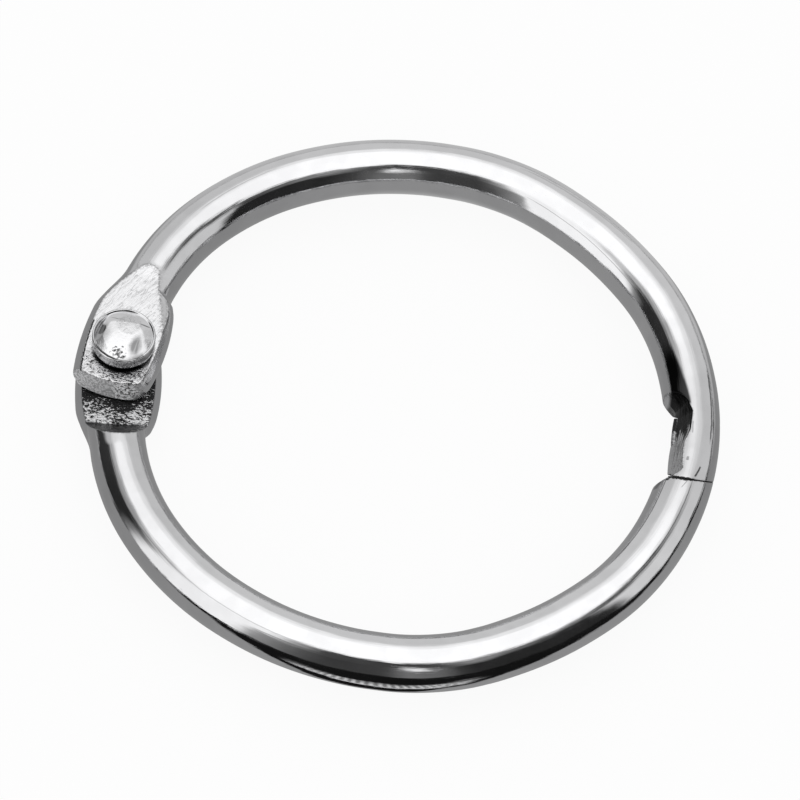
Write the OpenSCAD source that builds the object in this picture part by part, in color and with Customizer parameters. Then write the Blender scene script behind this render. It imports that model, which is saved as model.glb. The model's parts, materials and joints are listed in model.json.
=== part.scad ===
// Loose-leaf binder ring in plated steel wire, all sizes in millimetres.
//
// The ring lies flat, with its origin at its centre in the plane of the wire and
// its axis along +Z. The riveted hinge is at -X and the snap closure at +X. Both
// halves are one and the same pressed part: the lower half is the upper half
// turned half a turn about the X axis, so that at each end one laps the other.

/* [Ring] */
// Clear diameter inside the closed ring
inner_d = 25.4; // [20:0.2:40]
// Diameter of the round wire
wire_d = 2.7; // [2.2:0.05:3.3]
// Angle, seen from the closure, where the wire turns in more tightly to its ear
bend_start = 140; // [132:1:146]
// How much smaller that last bend's radius is than the ring's
bend_tighter = 2.55; // [1.8:0.05:3.2]

/* [Hinge ears] */
// Angle by which each ear leans in from a line square to the diameter
ear_tilt = 7; // [5:0.5:9]
// Greatest width of the ear's outer face
ear_flat_w = 3.5; // [2.9:0.05:4.2]
// Greatest width of its inner face, by which it meets the other ear
ear_foot_w = 3.55; // [3:0.05:4.3]
// From the rivet to where the ear is widest
ear_mid = 0.8; // [0.4:0.1:1.2]
// Radius of the ear's barrelled outline on either side, seen from above
ear_side_r = 14; // [9:0.5:20]
// How far each rounded side of the ear swells out past its flat faces
ear_bulge = 0.33; // [0.1:0.01:0.42]
// How far the ear's outer face is pressed in below the crown of the wire
press_depth = 0.07; // [0.04:0.01:0.2]
// From the rivet to the middle of the ear's sheared end
ear_end = 2.05; // [1.9:0.05:2.5]
// Radius of the sheared end
ear_end_r = 4.9; // [3.5:0.1:6]
// Angle by which the sheared end leans back towards the ear's outer face
ear_end_lean = 7; // [0:0.5:10]
// From the rivet to where the ear's outer face starts to narrow
pad_run = 2; // [1.6:0.1:2.4]
// From the rivet to the foot of the step between ear and round wire
ear_run = 3.4; // [3.1:0.05:4.1]
// Width left on the ear's outer face above the foot of the step
throat_w = 2.5; // [2:0.05:2.9]
// Length over which the wire beyond that step grows fully round
step_run = 1.5; // [1.2:0.05:1.8]
// Slope of the step's face away from the ear's flat
step_angle = 47; // [40:1:65]
// Gap between the two ears' facing flats
ear_gap = 0.1; // [0.06:0.01:0.2]

/* [Rivet] */
// Radius of the rivet's shank
shank_r = 0.9; // [0.7:0.05:1.1]
// Radial running clearance of the shank in the ears
shank_clear = 0.04; // [0.02:0.01:0.08]
// Radius of the rivet's upper head
head_r = 1.5; // [1.4:0.05:1.65]
// How far the upper head was upset off the shank's axis, inwards and towards the wire
head_off = [0.08, 0.2]; // [0:0.01:0.22]
// Upright height of the upper head's rim
head_rim_h = 0.46; // [0.3:0.01:0.6]
// Radius of the set head underneath
tail_r = 1.45; // [1.4:0.05:1.65]
// Upright height of the set head's rim
tail_rim_h = 0.22; // [0.1:0.01:0.5]
// Height of the seat on which a head's rim stands clear of the ear
seat_h = 0.26; // [0.15:0.01:0.35]
// How far that seat draws in from the rim
seat_in = 0.3; // [0.2:0.01:0.4]
// Width and height of the bevel between rim and crown
rim_bevel = 0.08; // [0.05:0.01:0.15]
// Rise of a head's crown above that bevel
crown_h = 0.2; // [0.12:0.01:0.3]
// End play between the set head and the lower ear
head_play = 0.05; // [0.03:0.01:0.1]

/* [Snap closure] */
// Length over which the two tongues lap, measured over their long sides
lap_len = 5; // [4.1:0.1:6]
// Slope of a tongue's end face away from the plane of the ring
tip_angle = 57; // [45:1:75]
// Height of the hook that each tongue raises past the middle of the wire
hook_h = 0.2; // [0.12:0.01:0.3]
// Gap between the tongues' facing surfaces
lap_gap = 0.08; // [0.04:0.01:0.12]
// Depth of the finger relief below the wire's inner edge, at mid-height
relief_depth = 0.4; // [0.2:0.01:0.5]
// Angle between each of the relief's two sloping flats and the plane of the ring
relief_angle = 63; // [50:1:75]
// Length of the relief's flats to each side of the diameter
relief_run = 1.88; // [1.5:0.02:2.2]
// Angle of the ramps that close the relief at both ends
relief_ramp = 46; // [35:1:60]

/* [Hidden] */
$fn = 96;

// thickness of the slices that are drawn together into an ear, and their number
// between its end and where its outer face starts to narrow
slice = 0.1;
slices = 6;
// facets up each rounded side of an ear
side_steps = 8;
// how far the last slice of an ear stands proud of the wire that it swallows
collar = 0.015;
// degrees by which one arc of wire runs on into the next
arc_overlap = 0.5;

wire_r = wire_d / 2;
ring_r = inner_d / 2 + wire_r;
bend_r = ring_r - bend_tighter;
bend_end = 180 - ear_tilt;

// centre of the last bend, tangent inside the ring's centre line
bend_c = bend_tighter * [cos(bend_start), sin(bend_start)];
// where the last bend runs out into the straight ear, and the ear's line from
// there down to the diameter, which it meets at the rivet
bend_foot = bend_c + bend_r * [cos(bend_end), sin(bend_end)];
straight = bend_foot.y / cos(ear_tilt);
pivot_x = bend_foot.x - straight * sin(ear_tilt);

// the neck, where the wire is fully round again
neck_a = bend_end - arc_angle(ear_run + step_run - straight, bend_r);
// the wire runs on past the neck to half the depth of the ear's last slice
wire_end = neck_a + arc_angle(slice / 2, bend_r);
ear_top = wire_r - press_depth;
ear_foot = ear_gap / 2;

// arc of wire past the diameter that holds the whole of a tongue's end
tongue_a = 1.2 * arc_angle(lap_len / 2, inner_d / 2);

// angle in degrees that an arc of a given length turns through
function arc_angle(length, radius) = length / radius * 180 / PI;

// how much narrower the barrelled ear is at a distance y from the rivet
function ear_loss(y) = 2 * (ear_side_r - sqrt(ear_side_r * ear_side_r - (y - ear_mid) * (y - ear_mid)));
function foot_w(y) = ear_foot_w - ear_loss(y);
function flat_w(y) = ear_flat_w - ear_loss(y);

// how far from the diameter a tongue's end face lies at height z
function tip_y(z) = lap_len / 2 - (wire_r - z) / tan(tip_angle);

// one rounded side of an ear, from its inner face up to its outer face
function ear_side(foot, top) = [
    for (i = [0:side_steps])
        let (t = i / side_steps)
        [
            (foot + (top - foot) * t) / 2 + 4 * ear_bulge * t * (1 - t),
            ear_foot + (ear_top - ear_foot) * t
        ]
];

function mirrored(points) = [for (i = [len(points) - 1:-1:0]) [-points[i].x, points[i].y]];

// places things in an ear's own frame: rivet at the origin, wire towards +Y
module at_pivot() {
    translate([pivot_x, 0, 0])
        rotate([0, 0, -ear_tilt])
            children();
}

// a length of ear starting y from the rivet
module ear_piece(y, length, foot, top) {
    side = ear_side(foot, top);
    translate([0, y + length, 0])
        rotate([90, 0, 0])
            linear_extrude(length)
                polygon(concat(side, mirrored(side)));
}

// the barrelled pad round the rivet, running on past its sheared end
module ear_pad() {
    pad_step = (pad_run + ear_end + slice) / slices;
    at_pivot()
        hull()
            for (i = [0:slices])
                let (y = pad_run - i * pad_step)
                    ear_piece(y, slice, foot_w(y), flat_w(y));
}

// the shoulder, which narrows above its foot and then sweeps into the round wire
module ear_shoulder() {
    hull() {
        at_pivot()
            ear_piece(pad_run, slice, foot_w(pad_run), flat_w(pad_run));
        at_pivot()
            ear_piece(ear_run - slice, slice, foot_w(ear_run), throat_w);
        translate(bend_c)
            rotate([0, 0, neck_a])
                translate([bend_r, slice, 0])
                    rotate([90, 0, 0])
                        linear_extrude(slice)
                            circle(wire_r + collar, $fn = 48);
    }
}

// takes away all that lies past the ear's sheared end
module end_cut() {
    block = 4 * wire_d;
    lean_off = wire_d * tan(ear_end_lean);
    at_pivot()
        difference() {
            translate([-block / 2, -ear_end - block, -block / 2])
                cube([block, block + ear_end_r / 2, block]);
            translate([0, ear_end_r - ear_end, 0])
                cylinder(r1 = ear_end_r + lean_off, r2 = ear_end_r - lean_off, h = 2 * wire_d, center = true);
        }
}

// takes away what the other half's ear swings through, up to the sloping step
module ear_cut() {
    step_h = 2 * wire_d;
    ear_far = ear_end + wire_d;
    at_pivot()
        rotate([90, 0, 90])
            linear_extrude(4 * wire_d, center = true)
                polygon([
                    [-ear_far, ear_foot],
                    [ear_run, ear_foot],
                    [ear_run + step_h / tan(step_angle), ear_foot - step_h],
                    [-ear_far, ear_foot - step_h]
                ]);
}

// round wire along an arc, from one angle to another
module wire_arc(radius, from, to) {
    rotate_extrude(angle = to - from, start = from)
        translate([radius, 0])
            circle(wire_r);
}

// takes away what the other half's tongue fills: both end faces slope, and
// between them a step leaves a hook at the tip
module lap_cut() {
    hook_foot = lap_gap / 2 - hook_h;
    hook_root = lap_gap / 2 + hook_h;
    translate([ring_r, 0, 0])
        rotate([90, 0, 90])
            linear_extrude(4 * wire_d, center = true)
                polygon([
                    [-lap_len, wire_d],
                    [-tip_y(wire_d), wire_d],
                    [-tip_y(hook_foot), hook_foot],
                    [-lap_gap / 2, hook_foot],
                    [-lap_gap / 2, hook_root],
                    [tip_y(-hook_root) + lap_gap, hook_root],
                    [tip_y(wire_d) + lap_gap, -wire_d],
                    [-lap_len, -wire_d]
                ]);
}

// one sloping flat of the relief with its two closing ramps
module relief_slope() {
    ramp_run = wire_d / tan(relief_ramp);
    translate([inner_d / 2 + relief_depth, 0, 0])
        rotate([0, 90 - relief_angle, 0])
            linear_extrude(3 * wire_d, center = true)
                polygon([
                    [0, -relief_run],
                    [0, relief_run],
                    [-wire_d, relief_run + ramp_run],
                    [-wire_d, -relief_run - ramp_run]
                ]);
}

// the relief on the closure's inner edge that lets a fingernail in: one flat
// slopes outwards above mid-height and one below, across both tongues
module relief_cut() {
    relief_slope();
    rotate([180, 0, 0])
        relief_slope();
}

module half_ring() {
    difference() {
        union() {
            ear_pad();
            ear_shoulder();
            translate(bend_c)
                wire_arc(bend_r, bend_start, wire_end);
            wire_arc(ring_r, -tongue_a, bend_start + arc_overlap);
        }
        at_pivot()
            cylinder(r = shank_r + shank_clear, h = 2 * wire_d, center = true);
        end_cut();
        ear_cut();
        lap_cut();
        relief_cut();
    }
}

// height of a rivet head whose rim has a given height
function head_h(rim_h) = seat_h + rim_h + rim_bevel + crown_h;

// a rivet head standing on z = 0: drawn-in seat, upright rim, bevel, shallow crown
module rivet_head(radius, rim_h) {
    crown_r = radius - rim_bevel;
    dome_r = (crown_r * crown_r + crown_h * crown_h) / (2 * crown_h);
    cylinder(r1 = radius - seat_in, r2 = radius, h = seat_h);
    translate([0, 0, seat_h])
        cylinder(r = radius, h = rim_h);
    translate([0, 0, seat_h + rim_h])
        cylinder(r1 = radius, r2 = crown_r, h = rim_bevel);
    intersection() {
        translate([0, 0, head_h(rim_h) - dome_r])
            sphere(dome_r);
        translate([0, 0, seat_h])
            cylinder(r = crown_r, h = rim_h + rim_bevel + crown_h);
    }
}

module upper_half() {
    color("silver")
        half_ring();
}

module lower_half() {
    color("gainsboro")
        rotate([180, 0, 0])
            half_ring();
}

module rivet() {
    color("darkgray")
        at_pivot() {
            translate([0, 0, -ear_top - head_play])
                cylinder(r = shank_r, h = 2 * ear_top + head_play);
            translate([head_off.x, head_off.y, ear_top])
                rivet_head(head_r, head_rim_h);
            translate([0, 0, -ear_top - head_play])
                rotate([180, 0, 0])
                    rivet_head(tail_r, tail_rim_h);
        }
}

upper_half();
lower_half();
rivet();
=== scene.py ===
"""Loose-leaf binder ring in nickel-plated steel wire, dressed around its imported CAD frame."""

import json
import math

import bpy
import numpy as np
from bpy.props import FloatProperty, FloatVectorProperty, IntProperty, PointerProperty
from mathutils import Matrix, Vector


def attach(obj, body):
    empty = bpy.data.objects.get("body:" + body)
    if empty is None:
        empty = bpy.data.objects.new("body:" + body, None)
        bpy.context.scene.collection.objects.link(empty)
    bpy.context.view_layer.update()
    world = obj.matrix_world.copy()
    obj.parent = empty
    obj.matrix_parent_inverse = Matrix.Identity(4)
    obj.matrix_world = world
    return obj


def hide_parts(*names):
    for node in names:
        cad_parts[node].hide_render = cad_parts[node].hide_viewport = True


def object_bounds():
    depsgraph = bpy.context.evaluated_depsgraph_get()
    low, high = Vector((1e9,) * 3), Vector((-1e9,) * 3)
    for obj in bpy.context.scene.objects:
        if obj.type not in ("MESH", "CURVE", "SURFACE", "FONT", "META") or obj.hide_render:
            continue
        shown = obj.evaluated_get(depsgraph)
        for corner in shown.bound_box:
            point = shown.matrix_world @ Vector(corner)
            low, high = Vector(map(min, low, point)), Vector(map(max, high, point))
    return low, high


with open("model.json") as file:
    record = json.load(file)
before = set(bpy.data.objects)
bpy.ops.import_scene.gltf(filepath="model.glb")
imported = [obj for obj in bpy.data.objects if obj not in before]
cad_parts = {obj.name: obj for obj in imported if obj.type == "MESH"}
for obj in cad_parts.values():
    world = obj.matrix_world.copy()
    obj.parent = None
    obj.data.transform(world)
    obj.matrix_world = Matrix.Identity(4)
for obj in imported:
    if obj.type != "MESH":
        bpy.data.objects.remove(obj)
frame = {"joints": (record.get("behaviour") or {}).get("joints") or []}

bl_info = {
    "name": "Binder Ring",
    "version": (1, 0, 0),
    "blender": (4, 5, 0),
    "location": "View3D > Sidebar > Ring",
    "description": "Builds the two wire halves, the rivet and the stage of a snap binder ring",
    "category": "Add Mesh",
}

MM = 0.001
CAD_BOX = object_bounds()
PIVOT = frame["joints"][0]["pos_m"]

# the ring's lines, in millimetres, and angles in radians
WIRE_R = 1.35
RING_R = 14.05
BEND_R = 11.5
BEND_START = math.radians(140)
EAR_TILT = math.radians(7)
BEND_ARC = math.pi - EAR_TILT - BEND_START
# from the rivet to where the ear's straight wire meets the bend
STRAIGHT = 3.064
PIVOT_X = PIVOT[0] / MM
# from the rivet along the wire to the closure's middle
DIAMETER_AT = STRAIGHT + BEND_R * BEND_ARC + RING_R * BEND_START
# where the plain wire starts, round from the closure, and stops, along the wire from the rivet
WIRE_FROM = math.radians(17)
WIRE_TO = 6.6
# how far the formed wire stands out from its true arc, by share of the way from the closure to the ear
WANDER = (
    (0.0, 0.0), (0.10, 0.015), (0.25, -0.085), (0.365, 0.0), (0.44, 0.055), (0.53, 0.0), (0.68, -0.045),
    (0.82, 0.0), (1.0, 0.0),
)
WANDER_SPAN = 0.2

# the hinge ear: heights of its two flats, and the half-width of the lower one
PRESS_Z = 1.28
FOOT_Z = 0.05
EAR_HALF = 1.775
# where the ear is widest, the radius of its outline, and the swell of its rounded sides
EAR_MID = 0.8
EAR_SIDE_R = 14.0
EAR_BULGE = 0.33
# its sheared end: radius, where that circle is centred, and lean
END_R = 4.9
END_AT = 2.85
END_LEAN = math.radians(7)
# the step between ear and round wire, and the bevel along the flat's inner side
STEP_AT = 3.4
STEP_SLOPE = math.radians(47)
BEVEL_LEAN = math.radians(24)

# the closure's lap: half its length, the slope of a tongue's end, and the heights of its hook
LAP_HALF = 2.5
LAP_SLOPE = math.radians(57)
HOOK_LOW, HOOK_HIGH = -0.18, 0.22
# from the diameter to where the sloping tip meets the hook, and the hook meets the root's slope
TIP_Y = -(LAP_HALF - (WIRE_R - HOOK_LOW) / math.tan(LAP_SLOPE))
ROOT_GAP = 0.022
ROOT_Y = LAP_HALF - (WIRE_R + HOOK_HIGH) / math.tan(LAP_SLOPE) + ROOT_GAP
# the finger relief: half its length, its ridge's distance from the ring's middle, and the lean of its two flats
RELIEF_HALF = 1.88
RELIEF_RIDGE = 13.1
RELIEF_LEAN = 24

# points round every section
SIDES = 144


class RingSizes(bpy.types.PropertyGroup):
    """Sizes of the dressed wire that may be changed"""

    wire: FloatProperty(name="Wire", description="Diameter of the round wire", default=2 * WIRE_R * MM, unit="LENGTH")
    bore: FloatProperty(name="Bore", description="Diameter of the hole through each ear",
                        default=1.88 * MM, unit="LENGTH")
    stations: IntProperty(name="Stations", description="Sections along the plain wire", default=130, min=20)


class PlateFinish(bpy.types.PropertyGroup):
    """Look of the plating"""

    colour: FloatVectorProperty(name="Plate", description="Colour of the nickel plate", subtype="COLOR",
                                size=3, min=0, max=1, default=(0.78, 0.78, 0.79))
    gloss: FloatProperty(name="Roughness", description="Roughness of the bright plate",
                         default=0.045, min=0, max=1, subtype="FACTOR")
    wear: FloatProperty(name="Tool marks", description="Strength of the marks left by pressing and cutting",
                        default=1.0, min=0, max=2, subtype="FACTOR")


class StageLight(bpy.types.PropertyGroup):
    """Floor, light and camera"""

    level: FloatProperty(name="Light", description="Level of the even light", default=0.9, min=0)
    overhead: FloatProperty(name="Overhead", description="Brightness of the light overhead in the plate",
                            default=1.3, min=0)
    lens: FloatProperty(name="Lens", description="Focal length", default=202.7, unit="CAMERA")


# ---------------------------------------------------------------- forms


def eased(x, low, high):
    """0 below low and 1 above high, with a smooth rise between them."""
    t = np.clip((x - low) / (high - low), 0, 1)
    return t * t * (3 - 2 * t)


def blunt_max(a, b, k):
    """The larger of two fields, with the corner between them rounded off."""
    return 0.5 * (a + b + np.sqrt((a - b) ** 2 + k * k))


def half_width(s, z, a):
    """Half-width of the pressed ear at height z, distance s from the rivet and a from its middle line."""
    narrowed = EAR_SIDE_R - np.sqrt(EAR_SIDE_R ** 2 - (np.clip(s, -3, 6) - EAR_MID) ** 2)
    t = np.clip((z - FOOT_Z) / (PRESS_Z - FOOT_Z), -1.2, 1.2)
    pinch = eased(a, 0, 0.8) * (0.045 + 0.026 * np.clip(s - EAR_MID, 0, 3) ** 2)
    over = EAR_HALF - (0.025 + pinch) * t + EAR_BULGE * np.sin(np.pi * np.clip(t, 0, 1)) ** 1.25
    under = EAR_HALF * np.sqrt(np.clip(1 - ((FOOT_Z - z) / 1.42) ** 2, 0, 1))
    return np.where(z >= FOOT_Z, over, under) - narrowed


def along_ear(x, y):
    """Distance along the wire from the rivet, and outwards from the wire's line towards the ring's middle."""
    bent = y > STRAIGHT
    s = np.where(bent, STRAIGHT + BEND_R * np.arctan2(y - STRAIGHT, BEND_R - x), y)
    return s, np.where(bent, BEND_R - np.hypot(x - BEND_R, y - STRAIGHT), x)


def ear_faces(x, y, z):
    """Fields of the ear's faces in its own frame: rivet at 0, wire towards +y, ring's middle towards +x."""
    s, a = along_ear(x, y)
    wire = np.hypot(a, z) - WIRE_R
    ear = (np.abs(a) - half_width(s, z, a)) * 0.94
    # the ear's section turns round, sooner on its outer side
    outer = eased(s, 2.3, 5.3)
    inner = 0.55 * eased(s, 2.6, 5.3) + 0.45 * eased(s, 3.45, 3.95)
    k = outer + (inner - outer) * eased(a, -0.5, 1.0)
    # the pressed flat runs out upwards into the crown of the wire
    press = z - (PRESS_Z + 0.07 * np.clip((s - 4.25) / 0.95, 0, 2) ** 1.5 + 0.3 * np.clip(s - 4.95, 0, 1))
    edge = 1.86 - 1.26 * eased(s, 0.3, 5.2)
    bevel = (z - PRESS_Z) * math.cos(BEVEL_LEAN) + (a - edge) * math.sin(BEVEL_LEAN)
    step = (FOOT_Z - z) * math.cos(STEP_SLOPE) - (y - STEP_AT) * math.sin(STEP_SLOPE)
    foot = np.where(y > STEP_AT, step, FOOT_Z - z)
    shear = np.where(y < 1, np.hypot(x, y - END_AT) - END_R + z * math.tan(END_LEAN), -3)
    body = blunt_max(ear * (1 - k) + wire * k, shear, 0.16 * eased(a, 0.6, 1.3))
    return {"body": body, "press": press, "bevel": bevel, "foot": foot, "shear": shear}


def ear_field(x, y, z):
    """Below 0 inside the ear and the round wire that it runs into."""
    f = ear_faces(x, y, z)
    solid = f["body"]
    for name, corner in (("press", 0.03), ("bevel", 0.02), ("foot", 0.03), ("shear", 0.035)):
        solid = blunt_max(solid, f[name], corner)
    plain = eased(y, 5.5, 6.2)
    return solid * (1 - plain) + f["body"] * plain


def lap_height(y):
    """Height of the tongue's lower face: sloping tip, hook, step up, sloping root."""
    tip = WIRE_R - (y + LAP_HALF) * math.tan(LAP_SLOPE)
    root = HOOK_HIGH - (y - ROOT_Y) * math.tan(LAP_SLOPE)
    step = HOOK_LOW + (HOOK_HIGH - HOOK_LOW) * np.clip((y + 0.02) / 0.02 + 0.5, 0, 1)
    return np.where(y < -0.5, np.maximum(tip, HOOK_LOW), np.minimum(step, root))


def tongue_faces(x, y, z):
    """Fields of the tongue's faces in the ring's frame, near the closure."""
    wire = np.hypot(np.hypot(x, y) - RING_R, z) - WIRE_R
    sloping = (y < TIP_Y) | (y > ROOT_Y)
    lap = (lap_height(y) - z) * np.where(sloping, math.cos(LAP_SLOPE), 1)
    past = np.clip(np.abs(y) - RELIEF_HALF, 0, 3)
    run_out = 0.45 * past * past / (past + 0.04) + 0.93 * past * past
    lean = np.tan(np.radians(RELIEF_LEAN + 5 * eased(y, -0.6, 0.4) - 9 * eased(y, 1.3, 2.0)))
    ridge = RELIEF_RIDGE - 0.07 * np.clip(1 - ((y + 0.8) / 1.2) ** 2, 0, 1)
    flats = [(ridge + side * z * lean - run_out - x) / np.hypot(1, lean) for side in (1, -1)]
    return {"body": wire, "lap": lap, "scrape": blunt_max(flats[0], flats[1], 0.03)}


def tongue_field(x, y, z):
    """Below 0 inside the tongue and the round wire that carries it."""
    f = tongue_faces(x, y, z)
    return blunt_max(blunt_max(f["body"], f["lap"], 0.025), f["scrape"], 0.03)


def ray_lengths(field, points_at, shape, far=3.3, halvings=26):
    """How far along each ray its field turns from inside to outside."""
    low, high = np.zeros(shape), np.full(shape, far)
    for _ in range(halvings):
        middle = (low + high) / 2
        inside = field(*points_at(middle)) < 0
        low, high = np.where(inside, middle, low), np.where(inside, high, middle)
    return (low + high) / 2


def crowded(lines, count, closed, pull=0.35):
    """Places for count points along each line, closer together where the line turns."""
    step = (np.roll(lines, -1, axis=1) if closed else lines[:, 1:]) - (lines if closed else lines[:, :-1])
    length = np.linalg.norm(step, axis=2)
    ahead = step / np.maximum(length, 1e-9)[..., None]
    turn = np.arccos(np.clip((ahead * np.roll(ahead, 1, axis=1)).sum(2), -1, 1))
    if not closed:
        turn[:, 0] = 0
    spread = np.array([1, 2, 3, 4, 5, 4, 3, 2, 1]) / 25
    padded = np.pad(turn, ((0, 0), (4, 4)), mode="wrap" if closed else "constant")
    turn = sum(share * padded[:, i:i + turn.shape[1]] for i, share in enumerate(spread))
    total = np.cumsum(length + pull * turn, axis=1)
    total = np.pad(total, ((0, 0), (1, 0))) / total[:, -1:]
    wanted = np.arange(count) / count if closed else np.linspace(0, 1, count)
    marks = np.arange(total.shape[1])
    return np.array([np.interp(wanted, row, marks) for row in total])


def sections(place, field, stations, centres, fine=720):
    """A loft's rows and their angles: in each station's plane, rays from its centre, the first one straight up."""
    at, out, up = stations[:, None], centres[:, 0][:, None], centres[:, 1][:, None]

    def points(angle):
        def along(r):
            return place(at, out + r * np.cos(angle), up + r * np.sin(angle))
        r = ray_lengths(field, along, angle.shape)
        return r, along(r)

    angle = np.broadcast_to(np.linspace(0, 2 * np.pi, fine, endpoint=False) + np.pi / 2, (len(stations), fine))
    r, _ = points(angle)
    outline = np.stack([r * np.cos(angle), r * np.sin(angle)], -1)
    angle = np.pi / 2 + crowded(outline, SIDES, True) * 2 * np.pi / fine
    return np.stack(points(angle)[1], -1), angle


def end_fan(field, centre, across, angle, pole, rows, fine=400):
    """Rows that close a loft's end, with rays turning from its last section round to the pole."""
    outward = np.cos(angle)[:, None] * across + np.sin(angle)[:, None] * np.array([0, 0, 1])

    def points(turn):
        ray = np.cos(turn)[..., None] * outward[:, None, :] + np.sin(turn)[..., None] * pole
        ray /= np.linalg.norm(ray, axis=-1, keepdims=True)

        def along(r):
            p = centre + ray * r[..., None]
            return p[..., 0], p[..., 1], p[..., 2]
        return np.stack(along(ray_lengths(field, along, turn.shape)), -1)

    quarter = np.broadcast_to(np.linspace(0, np.pi / 2, fine), (len(angle), fine))
    turn = crowded(points(quarter), rows + 1, False) * (np.pi / 2) / (fine - 1)
    return np.swapaxes(points(turn), 0, 1)[1:]


def tongue_place(angle, out, z):
    """Sections square to the diameter near the closure, and square to the wire further off."""
    reach = RING_R + out
    share = eased(np.abs(angle), math.radians(12), math.radians(16.5))
    turned = (1 - share) * np.arcsin(np.clip(RING_R * np.sin(angle) / reach, -1, 1)) + share * angle
    return reach * np.cos(turned), reach * np.sin(turned), z + 0 * reach


def ear_place(s, out, z):
    """Sections square to the wire, s along it from the rivet, in the ear's own frame."""
    turned = np.clip(s - STRAIGHT, 0, None) / BEND_R
    x = np.where(s > STRAIGHT, BEND_R - (BEND_R + out) * np.cos(turned), -out)
    y = np.where(s > STRAIGHT, STRAIGHT + (BEND_R + out) * np.sin(turned), s)
    return x, y, z + 0 * out


def to_ring(p):
    """From the ear's own frame to the ring's."""
    x, y = p[..., 0].copy(), p[..., 1].copy()
    q = p.copy()
    q[..., 0] = PIVOT_X + x * math.cos(EAR_TILT) + y * math.sin(EAR_TILT)
    q[..., 1] = y * math.cos(EAR_TILT) - x * math.sin(EAR_TILT)
    return q


def even(*pieces):
    """Station values from (first, last, number) runs."""
    return np.concatenate([np.linspace(a, b, n, endpoint=False) for a, b, n in pieces])


def smoothed(values, width=9):
    """A running mean over neighbouring stations."""
    return np.convolve(np.pad(values, width // 2, mode="edge"), np.ones(width) / width, mode="valid")


def tongue_rows():
    """The tongue's rows of points, from its tip to the plain wire, and the fields of its faces there."""
    y = even((-2.2, -1.12, 28), (-1.12, -0.07, 22), (-0.07, 0, 10), (0, 1.12, 26), (1.12, 2.95, 58))
    angle = np.concatenate([np.arcsin(y / RING_R), np.linspace(math.radians(12.3), WIRE_FROM, 14)])
    low = smoothed(np.clip(lap_height(RING_R * np.sin(angle)), -WIRE_R, 1.3))
    out = 0.12 * (1 - eased(np.abs(angle), math.radians(9), math.radians(15)))
    centres = np.stack([out, np.clip((low + WIRE_R) / 2, 0, 1.25)], -1)
    centres[-1] = 0
    rows, turns = sections(tongue_place, tongue_field, angle, centres)
    start = np.array(tongue_place(angle[0], *centres[0]))
    tip = np.array([RING_R, -LAP_HALF + 0.01, WIRE_R - 0.005])
    pole = tip - start
    cap = end_fan(tongue_field, start, np.array([1, 0, 0]), turns[0], pole / np.linalg.norm(pole), 20)
    rows = np.concatenate([cap[::-1], rows])
    return rows, tongue_faces(*np.moveaxis(rows, -1, 0))


def ear_rows():
    """The ear's rows of points in its own frame, from the plain wire to its sheared end, and the fields there."""
    s = even((WIRE_TO, 5.4, 10), (5.4, 2.2, 84), (2.2, -1.0, 62))
    low = smoothed(np.clip(FOOT_Z - (s - STEP_AT) * math.tan(STEP_SLOPE), -WIRE_R, FOOT_Z))
    centres = np.stack([0 * s, (low + WIRE_R) / 2 * eased(-s, -5.6, -4.8)], -1)
    rows, turns = sections(ear_place, ear_field, s, centres)
    start = np.array([0.0, s[-1], centres[-1, 1]])
    cap = end_fan(ear_field, start, np.array([-1, 0, 0]), turns[-1], np.array([0, -1, 0]), 40)
    rows = np.concatenate([rows, cap])
    return rows, ear_faces(*np.moveaxis(rows, -1, 0))


def section_circle(place, at):
    """The plain wire's own section, on which a worked end meets the swept wire."""
    angle = np.arange(SIDES) * 2 * np.pi / SIDES + np.pi / 2
    return np.stack(place(np.full(SIDES, at), WIRE_R * np.cos(angle), WIRE_R * np.sin(angle)), -1)


def shell(rows, pole_first, marks, course):
    """One worked end as vertices, faces, marks and course: rows of quads, closed at one end by a fan of triangles."""
    pole, kept = (0, slice(1, None)) if pole_first else (-1, slice(None, -1))
    count = len(rows) - 1

    def flat(grid):
        """The rows that are kept, one after another, and then the pole."""
        return np.concatenate([grid[kept].reshape(-1, *grid.shape[2:]), grid[pole, :1]])

    i, j = np.meshgrid(np.arange(count - 1), np.arange(SIDES), indexing="ij")
    k = (j + 1) % SIDES
    quads = np.stack([i * SIDES + j, (i + 1) * SIDES + j, (i + 1) * SIDES + k, i * SIDES + k], -1).reshape(-1, 4)
    tip, last = count * SIDES, (count - 1) * SIDES
    ring = [(tip, a, (a + 1) % SIDES) for a in range(SIDES)] if pole_first else [
        (tip, last + (a + 1) % SIDES, last + a) for a in range(SIDES)]
    return flat(rows), quads.tolist() + ring, {name: flat(mark) for name, mark in marks.items()}, flat(course)


FACES = ("press", "foot", "shear", "scrape", "lap", "edge")


def touched(faces):
    """How fully each vertex lies on each worked face, and on an edge between two faces."""
    ranked = np.sort(np.stack(list(faces.values())), axis=0)
    marks = {name: np.exp(-(((ranked[-1] - f) / 0.02) ** 2)) for name, f in faces.items() if name != "body"}
    marks["edge"] = np.exp(-(((ranked[-1] - ranked[-2]) / 0.05) ** 2))
    return marks


def set_attribute(mesh, name, values):
    """One number or vector for every vertex."""
    kind, field = ("FLOAT", "value") if values.ndim == 1 else ("FLOAT_VECTOR", "vector")
    mesh.attributes.new(name, kind, "POINT").data.foreach_set(field, values.astype(np.float32).ravel())


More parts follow.
